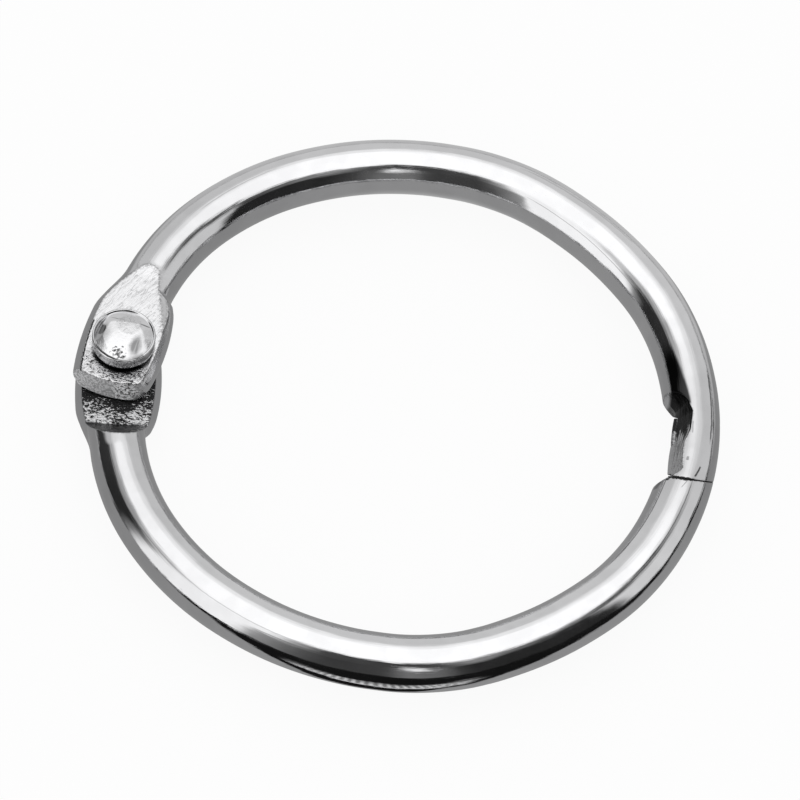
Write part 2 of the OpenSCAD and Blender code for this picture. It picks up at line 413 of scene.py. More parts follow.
def worked_ends():
    """The half ring's two worked ends, without the plain wire between them."""
    tongue, faces = tongue_rows()
    tongue[-1] = section_circle(tongue_place, WIRE_FROM)
    x, y, z = np.moveaxis(tongue, -1, 0)
    course = np.stack([DIAMETER_AT - RING_R * np.arctan2(y, x), np.hypot(x, y) - RING_R, z], -1)
    tongue_end = shell(tongue, True, touched(faces), course)
    ear, faces = ear_rows()
    ear[0] = section_circle(ear_place, WIRE_TO)
    along, inward = along_ear(ear[..., 0], ear[..., 1])
    ear_end = shell(to_ring(ear), False, touched(faces), np.stack([along, -inward, ear[..., 2]], -1))

    ends = (tongue_end, ear_end)
    start = len(tongue_end[0])
    points = np.concatenate([end[0] for end in ends])
    polygons = tongue_end[1] + [tuple(start + v for v in face) for face in ear_end[1]]
    course = np.concatenate([end[3] for end in ends])
    mesh = bpy.data.meshes.new("worked_ends")
    mesh.from_pydata((points * MM).tolist(), [], polygons)
    for name in FACES:
        values = np.concatenate([end[2].get(name, np.zeros(len(end[0]))) for end in ends])
        set_attribute(mesh, name, values)
    # the welding with the plain wire leaves everything alone but the two rows that meet it
    meets = [np.isclose(course[:, 0], at, atol=1e-4) for at in (WIRE_TO, DIAMETER_AT - RING_R * WIRE_FROM)]
    set_attribute(mesh, "kept", ~(meets[0] | meets[1]))
    set_attribute(mesh, "course", course)
    return mesh


# ---------------------------------------------------------------- nodes


class Value:
    """A node's output, on which arithmetic adds Math nodes."""

    def __init__(self, sheet, socket):
        self.sheet, self.socket = sheet, socket

    def most(self, other):
        return self.sheet.maths("MAXIMUM", self, other)


def arithmetic(operation, swapped):
    def act(value, other):
        return value.sheet.maths(operation, *((other, value) if swapped else (value, other)))
    return act


for sign, operation in zip(("add", "sub", "mul", "truediv", "pow"), ("ADD", "SUBTRACT", "MULTIPLY", "DIVIDE", "POWER")):
    setattr(Value, f"__{sign}__", arithmetic(operation, False))
    setattr(Value, f"__r{sign}__", arithmetic(operation, True))


class Made:
    """A node, whose outputs are read by name or place."""

    def __init__(self, sheet, node):
        self.sheet, self.node = sheet, node

    def __getitem__(self, key):
        return Value(self.sheet, self.node.outputs[key])


class Sheet:
    """A node tree being drawn up."""

    def __init__(self, tree):
        self.tree = tree

    def add(self, kind, sockets=None, **settings):
        """One node, with the values or links of its sockets, and its settings."""
        node = self.tree.nodes.new(kind)
        for name, value in settings.items():
            if name == "curve":
                curve = node.mapping.curves[0]
                curve.points[0].location, curve.points[-1].location = value[0], value[-1]
                for place, height in value[1:-1]:
                    curve.points.new(place, height)
                node.mapping.update()
            elif name == "stops":
                ramp = node.color_ramp
                while len(ramp.elements) < len(value):
                    ramp.elements.new(1)
                for element, (place, shade) in zip(ramp.elements, value):
                    element.position = place
                    element.color = (shade, shade, shade, 1)
            else:
                setattr(node, name, value)
        for key, value in (sockets or {}).items():
            for single in value if isinstance(value, list) else [value]:
                if isinstance(single, Made):
                    single = single[0]
                if isinstance(single, Value):
                    self.tree.links.new(single.socket, node.inputs[key])
                else:
                    node.inputs[key].default_value = single
        return Made(self, node)

    def between(self, value, low, high, out_low=0.0, out_high=1.0, shape="SMOOTHSTEP"):
        """value mapped from one range to another and held inside it."""
        ends = {"From Min": low, "From Max": high, "To Min": out_low, "To Max": out_high}
        return self.add("ShaderNodeMapRange", {"Value": value, **ends}, interpolation_type=shape)[0]

    def near(self, value, low, high, *ends):
        """between, of how far a value is from 0."""
        return self.between(self.size(value), low, high, *ends)

    def noise(self, vector, scale, detail, rough, seed, turn=0):
        """Noise, drawn out on an axis whose own scale is small, and turned by degrees from the wire's line."""
        if isinstance(scale, tuple):
            if turn:
                vector = self.add("ShaderNodeMapping", {"Vector": vector, "Rotation": (0, 0, math.radians(turn))})
            vector, scale = self.add("ShaderNodeMapping", {"Vector": vector, "Scale": scale}), 1.0
        sockets = {"Vector": vector, "W": seed, "Scale": scale, "Detail": detail, "Roughness": rough}
        return self.add("ShaderNodeTexNoise", sockets, noise_dimensions="4D")[0]

    def maths(self, operation, *values):
        return self.add("ShaderNodeMath", dict(enumerate(values)), operation=operation)[0]

    def size(self, value):
        return self.maths("ABSOLUTE", value)

    def reach(self, x, y):
        """Distance from the origin."""
        return self.maths("SQRT", x ** 2 + y ** 2)

    def split(self, vector):
        made = self.add("ShaderNodeSeparateXYZ", {0: vector})
        return made[0], made[1], made[2]

    def joined(self, *parts):
        return self.add("ShaderNodeCombineXYZ", dict(enumerate(parts)))

    def scaled(self, colour, shade):
        """A plain colour, darkened."""
        return self.add("ShaderNodeVectorMath", {0: tuple(colour), "Scale": shade}, operation="SCALE")[0]

    def attribute(self, name, output="Fac"):
        return self.add("ShaderNodeAttribute", attribute_name=name)[output]


def wire_tree(material, values):
    """Geometry Nodes: sweeps the plain wire along its two arcs, welds it to the worked ends and bores the ear.

    values names the tree's inputs and tells whole numbers from others.
    """
    tree = bpy.data.node_groups.new("round_wire", "GeometryNodeTree")
    tree.interface.new_socket("Ends", in_out="INPUT", socket_type="NodeSocketGeometry")
    for name, value in values.items():
        kind = "NodeSocketInt" if isinstance(value, int) else "NodeSocketFloat"
        tree.interface.new_socket(name, in_out="INPUT", socket_type=kind)
    tree.interface.new_socket("Ring", in_out="OUTPUT", socket_type="NodeSocketGeometry")
    g = Sheet(tree)
    given = g.add("NodeGroupInput")
    ring, bend, start = given["Ring radius"], given["Bend radius"], given["Bend start"]
    # a flat grid whose second output, from 0 to 1 each way, gives the share of the way along and round the wire
    grid = g.add("GeometryNodeMeshGrid", {
        "Size X": 1.0, "Size Y": 1.0, "Vertices X": given["Stations"], "Vertices Y": given["Sides"] + 1})
    share, round_share, _ = g.split(grid[1])
    plain = (start - given["Start angle"]) * ring
    run = share * (plain + given["Bend arc"] * bend)
    late = (run - plain).most(0)
    turned = given["Start angle"] + (run - late) / ring + late / bend
    bent = g.maths("GREATER_THAN", late, 0.0)
    curve = [(at, 0.5 + out / WANDER_SPAN) for at, out in WANDER]
    wander = g.add("ShaderNodeFloatCurve", {"Value": share}, curve=curve)[0]
    reach = ring + bent * (bend - ring) + (wander - 0.5) * (WANDER_SPAN * MM)
    around = round_share * (2 * math.pi) + math.pi / 2
    out, up = (given["Wire radius"] * g.maths(wave, around) for wave in ("COSINE", "SINE"))
    offset = bent * (ring - bend)
    x, y = (offset * g.maths(wave, start) + (reach + out) * g.maths(wave, turned) for wave in ("COSINE", "SINE"))
    placed = g.add("GeometryNodeSetPosition", {"Geometry": grid[0], "Position": g.joined(x, y, up)})
    course = g.joined(DIAMETER_AT - (given["Start angle"] * ring + run) / MM, out / MM, up / MM)
    marked = g.add("GeometryNodeStoreNamedAttribute", {"Geometry": placed, "Name": "course", "Value": course},
                   data_type="FLOAT_VECTOR", domain="POINT")
    joined = g.add("GeometryNodeJoinGeometry", {0: [marked[0], given["Ends"]]})
    kept = g.add("GeometryNodeInputNamedAttribute", {"Name": "kept"}, data_type="FLOAT")[0]
    welded = g.add("GeometryNodeMergeByDistance", {"Geometry": joined, "Selection": 1 - kept, "Distance": 2e-6})
    drill = g.add("GeometryNodeMeshCylinder", {"Vertices": 96, "Radius": given["Bore radius"], "Depth": 6 * MM},
                  fill_type="NGON")
    set_in = g.add("GeometryNodeTransform", {"Geometry": drill[0], "Translation": g.joined(given["Pivot"])})
    bored = g.add("GeometryNodeMeshBoolean", {0: welded, 1: set_in}, operation="DIFFERENCE", solver="EXACT")
    smooth = g.add("GeometryNodeSetShadeSmooth", {"Geometry": bored[0]})
    whole = g.add("GeometryNodeRealizeInstances", {"Geometry": smooth})
    plated = g.add("GeometryNodeSetMaterial", {"Geometry": whole, "Material": material})
    g.add("NodeGroupOutput", {0: plated})
    return tree


def linked(name, data):
    """A new object in the scene."""
    made = bpy.data.objects.new(name, data)
    bpy.context.scene.collection.objects.link(made)
    return made


def ring_mesh(sizes, material):
    """One half of the ring in its place, as a plain mesh."""
    values = {
        "Ring radius": RING_R * MM, "Bend radius": BEND_R * MM, "Wire radius": sizes.wire / 2,
        "Start angle": WIRE_FROM, "Bend start": BEND_START, "Bend arc": BEND_ARC - (WIRE_TO - STRAIGHT) / BEND_R,
        "Stations": sizes.stations, "Sides": SIDES, "Bore radius": sizes.bore / 2, "Pivot": PIVOT[0],
    }
    holder = linked("wire_holder", worked_ends())
    modifier = holder.modifiers.new("round_wire", "NODES")
    modifier.node_group = wire_tree(material, values)
    for item in modifier.node_group.interface.items_tree:
        if item.name in values:
            modifier[item.identifier] = values[item.name]
    bpy.context.view_layer.update()
    mesh = bpy.data.meshes.new_from_object(holder.evaluated_get(bpy.context.evaluated_depsgraph_get()))
    mesh.name = "wire_half"
    holder.modifiers.clear()
    bpy.data.objects.remove(holder)
    return mesh


# ---------------------------------------------------------------- rivet

# how far the upper head was upset off the shank's axis, in the ear's own frame
HEAD_SHIFT = np.array([0.08, 0.29])
HEAD_R, TAIL_R = 1.52, 1.45
# from a head's side in to where its crown starts, and the heights at which the crowns start and end
CROWN_IN = 0.08
CROWN_EDGE, CROWN_TOP = 2.17, 2.279
TAIL_EDGE, TAIL_RISE = -1.89, 0.2
# the side of the rivet: radius and height, up the set head, the shank and the upper head
TAIL_SIDE = (
    (1.40, -1.878), (1.43, -1.85), (1.445, -1.82), (1.45, -1.78), (1.45, -1.62), (1.445, -1.595), (1.42, -1.565),
    (1.17, -1.34), (1.14, -1.33), (0.92, -1.33),
)
SHANK_SIDE = ((0.9, -1.31), (0.9, -0.6), (0.9, 0.6), (0.9, 1.26), (0.9, 1.28))
HEAD_SIDE = (
    (1.2, 1.28), (1.23, 1.29), (1.46, 1.49), (1.49, 1.52), (1.515, 1.56), (1.52, 1.70), (1.52, 1.85), (1.52, 2.06),
    (1.519, 2.10), (1.513, 2.13), (1.502, 2.15), (1.48, 2.165),
)
# flats left by the setting hammer: direction in degrees from the ring's middle, distance out, and slope in degrees
CROWN_FLATS = (
    (97, 0.72, 9), (172, 0.92, 22), (215, 1.0, 13), (350, 1.02, 15), (308, 0.70, 12), (268, 1.05, 9),
    (35, 0.90, 11), (140, 0.98, 12),
)
FLAT_DEPTH = 0.16
RIVET_SIDES = 160


def dome(radius, base, rise, steps):
    """Radius and height up a head's crown, from its middle to its edge; a negative rise points it down."""
    edge = radius - CROWN_IN
    ball = (edge * edge + rise * rise) / (2 * abs(rise))
    r = np.linspace(0, edge, steps)
    return r, base + math.copysign(1, rise) * (np.sqrt(ball * ball - r * r) - (ball - abs(rise)))


def rivet_outline():
    """Radius, height and share of the head's shift, from the set head's middle up to the upper head's middle."""
    points = [(r, z, 0) for r, z in zip(*dome(TAIL_R, TAIL_EDGE, -TAIL_RISE, 34))]
    points += [(r, z, 0) for r, z in TAIL_SIDE + SHANK_SIDE] + [(r, z, 1) for r, z in HEAD_SIDE]
    r, z = dome(HEAD_R, CROWN_EDGE, CROWN_TOP - CROWN_EDGE, 60)
    return np.array(points + [(a, b, 1) for a, b in zip(r[::-1], z[::-1])])


def hammered(points):
    """The upper head's crown with the hammer's flats in it, but none at its rim."""
    x, y = points[:, 0] - HEAD_SHIFT[0], points[:, 1] - HEAD_SHIFT[1]
    cut = np.full(len(points), -1.0)
    for turn, out, slope in CROWN_FLATS:
        past = x * math.cos(math.radians(turn)) + y * math.sin(math.radians(turn)) - out
        cut = blunt_max(cut, past * math.tan(math.radians(slope)), 0.016)
    inside = 1 - eased(np.hypot(x, y), 1.38, 1.44)
    crown = points[:, 2] > CROWN_EDGE - 0.01
    points[:, 2] -= np.where(crown, inside * np.clip(cut, 0, FLAT_DEPTH), 0)
    return points


def rivet_mesh():
    """The rivet turned from its outline, with the shifted head's middle as the origin of its course."""
    outline = rivet_outline()
    angle = np.arange(RIVET_SIDES) * 2 * np.pi / RIVET_SIDES
    rows = outline[1:-1]
    x = rows[:, :1] * np.cos(angle) + rows[:, 2:] * HEAD_SHIFT[0]
    y = rows[:, :1] * np.sin(angle) + rows[:, 2:] * HEAD_SHIFT[1]
    poles = [[0, 0, outline[0, 1]], [*HEAD_SHIFT, outline[-1, 1]]]
    points = hammered(np.concatenate([np.stack([x, y, rows[:, 1:2] + 0 * x], -1).reshape(-1, 3), poles]))
    count, n = len(rows), RIVET_SIDES
    faces = [(i * n + j, i * n + (j + 1) % n, (i + 1) * n + (j + 1) % n, (i + 1) * n + j)
             for i in range(count - 1) for j in range(n)]
    foot, tip, last = count * n, count * n + 1, (count - 1) * n
    faces += [(foot, (j + 1) % n, j) for j in range(n)]
    faces += [(tip, last + j, last + (j + 1) % n) for j in range(n)]
    mesh = bpy.data.meshes.new("rivet")
    mesh.from_pydata((to_ring(points) * MM).tolist(), [], faces)
    set_attribute(mesh, "course", points - np.array([*HEAD_SHIFT, 0]))
    mesh.shade_smooth()
    return mesh


# ---------------------------------------------------------------- plate


def blank_material(name):
    material = bpy.data.materials.new(name)
    material.use_nodes = True
    material.node_tree.nodes.clear()
    return material, Sheet(material.node_tree)


def finish_plate(m, finish, shade, metal, rough, height, depth):
    """The plate's shader: its colour darkened by shade, and height as a bump of a depth in millimetres."""
    bump = m.add("ShaderNodeBump", {"Strength": 1.0, "Distance": depth * MM, "Height": height})
    shader = m.add("ShaderNodeBsdfPrincipled", {
        "Base Color": m.scaled(finish.colour, shade), "Metallic": metal,
        "Roughness": finish.gloss + rough, "Normal": bump})
    m.add("ShaderNodeOutputMaterial", {0: shader})


def darkest(marks):
    """The darkest of several marks at each point."""
    first, *others = marks
    for mark in others:
        first = first.most(mark)
    return first


# thin dark lines painted on each half, most of them painted dark reflections and a few of them small marks:
# place along the wire from the closure, degrees up from its outer side, half-length, half-width in degrees, lean in
# degrees per mm, and darkness
UPPER_DARK_LINES = (
    (1.8, 53.6, 2.0, 1.9, 0.4, 0.80), (14.8, 67, 3.4, 2.6, 1.0, 0.22), (32.6, 86, 2.4, 1.2, 0.2, 0.30),
    (13.0, 130, 4.4, 0.9, -0.5, 0.40), (-1.9, 68, 0.34, 2.0, -9.5, 0.85), (-1.36, 95, 0.12, 3.0, 0.0, 0.50),
    (0.45, 94, 0.36, 1.3, 0.0, 0.40),
)
LOWER_DARK_LINES = (
    (2.70, 125, 0.08, 5.0, 30.0, 0.90), (2.9, 146, 0.35, 9.0, 18.0, 0.50), (30.0, 62, 5.2, 1.0, 0.0, 0.30),
    (5.6, 128.5, 3.3, 1.2, 0.1, 0.70), (5.6, 71.5, 3.6, 1.1, -0.5, 0.60), (2.62, 84, 0.45, 1.1, 14.0, 0.45),
)


class WireSkin:
    """Where each point lies on a half's wire, the noises in its plate, and the shades of its worked faces."""

    def __init__(self, m, seed, up):
        """up is 1 on the half whose ear and tongue lie on top, and -1 on the half that is turned over."""
        self.m, self.up = m, up
        self.press, self.foot, self.shear, self.scrape, self.lap, self.edge = (m.attribute(face) for face in FACES)
        course = m.attribute("course", "Vector")
        self.ear, self.out, self.high = m.split(course)
        self.run = DIAMETER_AT - self.ear
        self.around = m.maths("ARCTAN2", self.high * up, self.out) * (180 / math.pi)
        self.torn = m.between(self.out, 0.0, -0.5)
        # along the wire: fine lines from drawing, long waves, and short streaks
        self.drawn = m.noise(course, (0.22, 8, 8), 4, 0.6, seed)
        self.waves = m.noise(course, (0.30, 0.85, 0.85), 2, 0.5, seed + 2)
        self.streaks = m.noise(course, (0.9, 8, 8), 4, 0.62, seed + 11)
        # in every direction, from wide to small
        self.cloud = m.noise(course, 0.9, 3, 0.5, seed + 3)
        self.blotch = m.noise(course, 1.6, 2, 0.5, seed + 9)
        self.ragged = m.noise(course, 3.5, 4, 0.6, seed + 8)
        self.pits = m.noise(course, 9.0, 3, 0.6, seed + 4)
        # slanting over the pressed faces, and across them
        self.wrinkles = m.noise(course, (0.9, 5.0, 5.0), 2, 0.55, seed + 5, 24)
        self.fine = m.noise(course, (2.6, 9.0, 9.0), 2, 0.6, seed + 6, 20)
        self.specks = m.noise(course, (6.5, 13.0, 13.0), 4, 0.66, seed + 7, 82)
        self.rubbed = m.between(self.ear, -0.2, -0.9)

    def pressed_flat(self):
        """Pale, with slanting wrinkles drawn in painted shade, rubbed to black and white specks in front of the rivet,
        and a painted shadow under the rivet's head.
        """
        m, ear, specks = self.m, self.ear, self.specks
        # the wrinkles' dark lines are painted shade
        lines = m.near(self.wrinkles - 0.5, 0.0, 0.03, 1, 0) * 0.36
        lines = lines.most(m.near(self.fine - 0.5, 0.0, 0.02, 1, 0) * 0.16)
        head = m.reach(self.out + HEAD_SHIFT[0], ear - HEAD_SHIFT[1])
        thick = specks + 0.25 * (self.blotch - 0.5) - 0.04 * m.between(head, 2.3, 1.8)
        black = m.between(thick, 0.455, 0.42) * self.rubbed
        # painted shadow under the rivet's head, on the flat in front of it
        under = m.between(head + 0.5 * (specks - 0.5), 1.64, 1.56) * m.between(ear, -0.3, -0.8)
        return (1 - lines) * (1 - 0.94 * black.most(under))

    def seat(self):
        """Coarse specks, painted darkest where the other ear's end shades them, then the step up to the wire, painted
        dark as shade.
        """
        m, out = self.m, self.out
        step = m.between(self.ear - 0.16 * m.near(out, 1.2, 0.4), 3.22, 3.34)
        # painted shade: the specks grow darker towards the other ear's end
        share = m.between(self.ear + 1.1 * (self.blotch - 0.5), 1.9, 3.1, 0.60, 0.455, "LINEAR")
        share = share + 0.07 * m.near(out + 0.15, 0.8, 0.2)
        specked = m.between(self.specks - share, -0.02, 0.02)
        # painted shade on the step up to the wire, lighter towards its inner side
        step_shade = m.between(out, -1.25, -0.75) * m.between(self.streaks, 0.75, 0.35, 0.7, 1)
        stepped = 0.13 + 0.75 * (1 - step_shade) * m.between(self.specks, 0.44, 0.54)
        return (0.04 + 0.96 * specked) * (1 - step) + stepped * step

    def sheared_end(self):
        """Smooth on one side, and torn to flecks on the other, whose colour is painted lighter as a highlight."""
        m, torn = self.m, self.torn
        flecks = m.between(self.specks + 0.5 * (self.pits - 0.5), 0.48, 0.44)
        # the torn side is painted lighter, a painted highlight; the dark flecks are its torn grain
        return (1 + 0.2 * torn) * (1 - torn * 0.92 * flecks) - 0.06 * m.between(self.pits, 0.5, 0.65)

    def relief(self):
        """The finger relief: painted black on one side of the closure as a dark reflection, breaking into hairs and
        streaks; on the turned half, black dirt at the joint.
        """
        m, run, streaks = self.m, self.run, self.streaks
        if self.up > 0:
            inner = m.between(self.out + 0.5 * m.between(run, 1.5, 1.0), -1.16, -0.98)
            # painted black, standing for the scoop's dark reflection
            blackened = m.between(run + 5.0 * (streaks - 0.5) + 0.6 * (self.fine - 0.5), 0.15, 0.45) * inner
            hairs = m.between(streaks, 0.46, 0.53) * m.between(run, -1.0, 0.0) * m.between(self.high, 0.35, 0.7)
            thin = m.near(streaks - 0.5, 0.035, 0.01) * m.between(run, -3.2, -1.0, 0, 0.8)
            hairs = hairs.most(thin * m.between(self.high, 0.2, 0.6))
        else:
            # on the turned half: black dirt in the joint at the lap's ledge
            blackened = m.between(run + 0.6 * (self.fine - 0.5), -0.72, -0.86)
            hairs = m.near(self.specks - 0.5, 0.045, 0.02) * m.between(run, 0.3, 0.0)
        return (1 - 0.96 * blackened) * (1 - 0.85 * hairs)

    def dark_reflection_streak(self):
        """A black streak painted along the upper half near the closure, standing for a dark reflection."""
        m, run, around, ragged = self.m, self.run, self.around, self.streaks - 0.5
        painted_dark_band = m.between(around + 6 * ragged - 6 * run, 84, 91) * m.between(around, 145, 138)
        ends = m.between(run + 1.2 * ragged, 6.2, 4.4) * m.between(run, 1.7, 1.9)
        return painted_dark_band * ends * 0.92

    def painted_dark_lines(self, marks):
        """Thin painted dark lines with ragged sides, most of them standing for dark reflections."""
        m, ragged = self.m, self.ragged - 0.5
        made = []
        for place, turn, length, width, lean, dark in marks:
            ahead = self.run - place
            off = (self.around - turn - lean * ahead) / width + ragged * 2.2
            ends = m.near(ahead / length + ragged * 0.5, 0.75, 1.05, 1, 0)
            made.append(m.near(off, 0.5, 1.3, dark, 0) * ends)
        return darkest(made)

    def outer_edge(self):
        """The black line along the outer edge of the ear's flat."""
        m, ear = self.m, self.ear
        off = self.out - 1.69 + (ear - EAR_MID) ** 2 / (2 * EAR_SIDE_R) + 0.08 * (self.pits - 0.5)
        line = m.near(off, 0.055, 0.025) * m.between(ear, 1.35, 1.2)
        return line * m.between(self.high * self.up, 1.1, 1.2) * m.between(self.pits, 0.36, 0.44)

    def joint(self):
        """The line where the upper half's tip meets the lower half's root."""
        m, out, high, run = self.m, self.out, self.high, self.run
        across = (RING_R + out) * m.maths("SINE", run / RING_R)
        slope = math.tan(LAP_SLOPE)
        if self.up > 0:
            away = across + LAP_HALF - (WIRE_R / slope - high / slope)
        else:
            away = across - ROOT_Y - (HOOK_HIGH / slope - high / slope)
        away = away + 0.10 * (self.fine - 0.5) * m.between(self.around, 75, 55)
        thick = m.between(self.around, 60, 85, 0.02, 0.07) * (0.75 + 0.5 * m.between(self.fine, 0.4, 0.6))
        # on the lap's own faces only a rim at the wire's skin is dark
        skin = m.between(out * out + high * high, 1.18 ** 2, 1.28 ** 2)
        line = m.between(m.size(away) - thick, 0.02, 0.0) * (1 - self.lap * (1 - skin))
        if self.up < 0:
            line = line * m.between(high, HOOK_HIGH + 0.04, HOOK_HIGH - 0.01)
        return line * m.near(run, 6, 5)


def wire_plate(name, finish, seed, up):
    """Bright plate on drawn wire, with pressed, cut and scraped faces at its worked ends."""
    material, m = blank_material(name)
    k = WireSkin(m, seed, up)
    press, foot, shear, scrape, lap = k.press, k.foot, k.shear, k.scrape, k.lap

    # thin dark lines painted in, most of them standing for dark reflections
    shade = 1 - k.painted_dark_lines(UPPER_DARK_LINES if up > 0 else LOWER_DARK_LINES)
    if up > 0:
        # a black streak painted in as a dark reflection near the closure
        shade = shade * (1 - k.dark_reflection_streak())
    ledge = scrape if up > 0 else scrape.most(lap * m.between(k.out, -0.70, -0.78))
    for face, own in ((press, k.pressed_flat()), (foot, k.seat()), (shear, k.sheared_end()), (ledge, k.relief())):
        shade = shade * (1 - face * (1 - own))
    worn_edges = 0.45 * k.edge * m.between(k.pits, 0.56, 0.46)
    shade = shade * (1 - 0.95 * darkest((k.outer_edge(), k.joint(), worn_edges)))
    # painted shade that dims the plate's reflection near the closure and the hinge, and a slight unevenness of the
    # plate
    worked = press.most(foot).most(shear).most(scrape)
    reflection_dimming = 0.18 * m.near(k.run, 8.0, 1.0) + 0.12 * m.between(k.run, 26.0, 38.0)
    shade = shade * (1 - (1 - worked) * reflection_dimming) * (0.95 + 0.05 * m.between(k.cloud, 0.35, 0.6))
    shade = shade * (1 - 0.07 * worked * m.between(k.pits, 0.5, 0.38))

    rough = 0.15 * press + 0.15 * foot + 0.50 * shear * (1 - 0.3 * k.torn) + 0.14 * scrape + 0.30 * lap
    rough = 0.05 * m.between(k.cloud, 0.4, 0.65) + finish.wear * rough
    worn = press.most(foot).most(scrape).most(shear * k.torn)
    tooled = (
        press * (0.9 * k.wrinkles + 1.2 * k.rubbed * k.specks) + foot * 2.6 * k.specks
        + shear * (0.12 + 3.2 * k.torn) * k.specks + (scrape * 1.4 + lap) * k.streaks + 0.2 * worn * k.pits)
    height = 0.34 * k.drawn + 1.9 * k.waves + finish.wear * tooled
    metal = 1 - shear * (0.6 + 0.4 * k.torn) - 0.4 * lap
    finish_plate(m, finish, shade, metal, rough, height, 0.02)
    return material


# dark patches painted on the rivet's crown, standing for its dark reflections: place, half-sizes, softness of the
# border, raggedness, and darkness
CROWN_DARK_REFLECTIONS = (
    (-1.13, 0.02, 0.23, 0.34, 0.25, 0.8, 0.97), (-1.02, -0.30, 0.34, 0.55, 0.70, 0.6, 0.55),
    (0.72, -0.46, 0.27, 0.50, 0.55, 0.8, 0.70), (0.06, -1.05, 0.24, 0.19, 0.10, 9.0, 0.95),
    (-0.62, 0.78, 0.24, 0.022, 0.40, 0.8, 0.55), (0.82, 0.80, 0.30, 0.035, 0.40, 0.8, 0.72),
    (1.12, 0.05, 0.30, 0.62, 0.50, 0.5, 0.20), (0.15, 1.18, 0.85, 0.16, 0.70, 0.5, 0.06),
)


def rivet_plate(name, finish, seed):
    """Bright plate on the rivet, hammered over its crown."""
    material, m = blank_material(name)
    place = m.attribute("course", "Vector")
    x, y, high = m.split(place)
    cloud = m.noise(place, 1.3, 3, 0.5, seed)
    specks = m.noise(place, 6.0, 5, 0.65, seed + 1)
    stripes = m.noise(place, (9.0, 1.2, 1.0), 2, 0.5, seed + 2)
    folds = m.noise(place, 3.2, 2, 0.5, seed + 3)
    reach = m.reach(x, y)
    crown = m.between(high, 2.05, 2.12)

    marks = []
    for left, far, wide, deep, soft, ragged, depth in CROWN_DARK_REFLECTIONS:
        off = m.reach((x - left) / wide, (y - far) / deep)
        marks.append(m.between(off + ragged * (specks - 0.5), 1 + soft, 1 - soft, 0, depth))
    # painted dark reflections on the crown
    crown_reflections = darkest(marks) * (0.80 + 0.20 * m.between(stripes, 0.42, 0.56))
    # folds in the blotch behind the middle
    blotch = m.between(m.reach(x - 0.1, y - 0.6), 0.68, 0.52)
    folded = blotch * (0.10 + 0.30 * m.near(folds - 0.5, 0.025, 0.0))
    # painted shade along the crease round the crown's front edge, and a painted shade line along its far edge
    front = m.between(y + 0.30 * (specks - 0.5), -0.72, -0.98) * 0.92
    crease_shade = m.near(reach - 1.41 + 0.08 * (folds - 0.5), 0.085, 0.045) * front
    far_edge_shade = m.between(reach, 1.45, 1.475) * m.between(y, -0.2, 0.4) * 0.45
    shade = 1 - crown * darkest((crown_reflections, folded, crease_shade, far_edge_shade))
    # the rim: painted gray as the shade of its side, with a pale lower edge, and a painted shadow underneath the head
    painted_dark_band = m.between(high, 2.12, 2.04) * m.between(high, 1.55, 1.62)
    under_head_shadow = m.between(high, 1.52, 1.46) * m.between(high, 0.0, 0.4)
    shade = shade * (1 - painted_dark_band * (0.30 + 0.35 * m.between(cloud, 0.58, 0.45))) * (1 - 0.9 * under_head_shadow)

    rough = 0.05 * cloud + 0.10 * painted_dark_band + 0.10 * blotch * crown
    finish_plate(m, finish, shade, 1.0, rough, specks + crown * (1.2 * cloud + 2.0 * blotch * folds), 0.012)
    return material


# ---------------------------------------------------------------- stage

# brightness of the room in the plate, by turn round from the front: from the floor up to head height, and above that
ROOM_LOW = (
    (0.0, 0.05), (0.014, 0.07), (0.03, 0.20), (0.058, 0.15), (0.08, 0.05), (0.10, 0.025), (0.20, 0.02),
    (0.213, 0.76), (0.33, 0.80), (0.40, 0.72), (0.50, 0.68), (0.60, 0.70), (0.668, 0.66), (0.682, 0.04),
    (0.772, 0.025), (0.788, 0.30), (0.803, 1.15), (0.895, 1.15), (0.909, 0.34), (0.932, 0.18), (0.95, 0.08),
    (0.965, 0.05), (1.0, 0.05),
)
ROOM_HIGH = (
    (0.0, 0.06), (0.07, 0.06), (0.11, 0.28), (0.17, 0.16), (0.23, 0.09), (0.31, 0.13), (0.345, 0.60), (0.39, 0.95),
    (0.50, 1.05), (0.62, 0.95), (0.67, 0.48), (0.74, 0.42), (0.79, 0.75), (0.83, 1.15), (0.905, 1.15), (0.93, 0.40),
    (0.955, 0.07), (1.0, 0.06),
)


def seen_by(sheet):
    """Whether a ray comes straight from the camera, and whether it is a mirrored one."""
    path = sheet.add("ShaderNodeLightPath")
    return path["Is Camera Ray"], path["Is Glossy Ray"].most(path["Is Transmission Ray"])


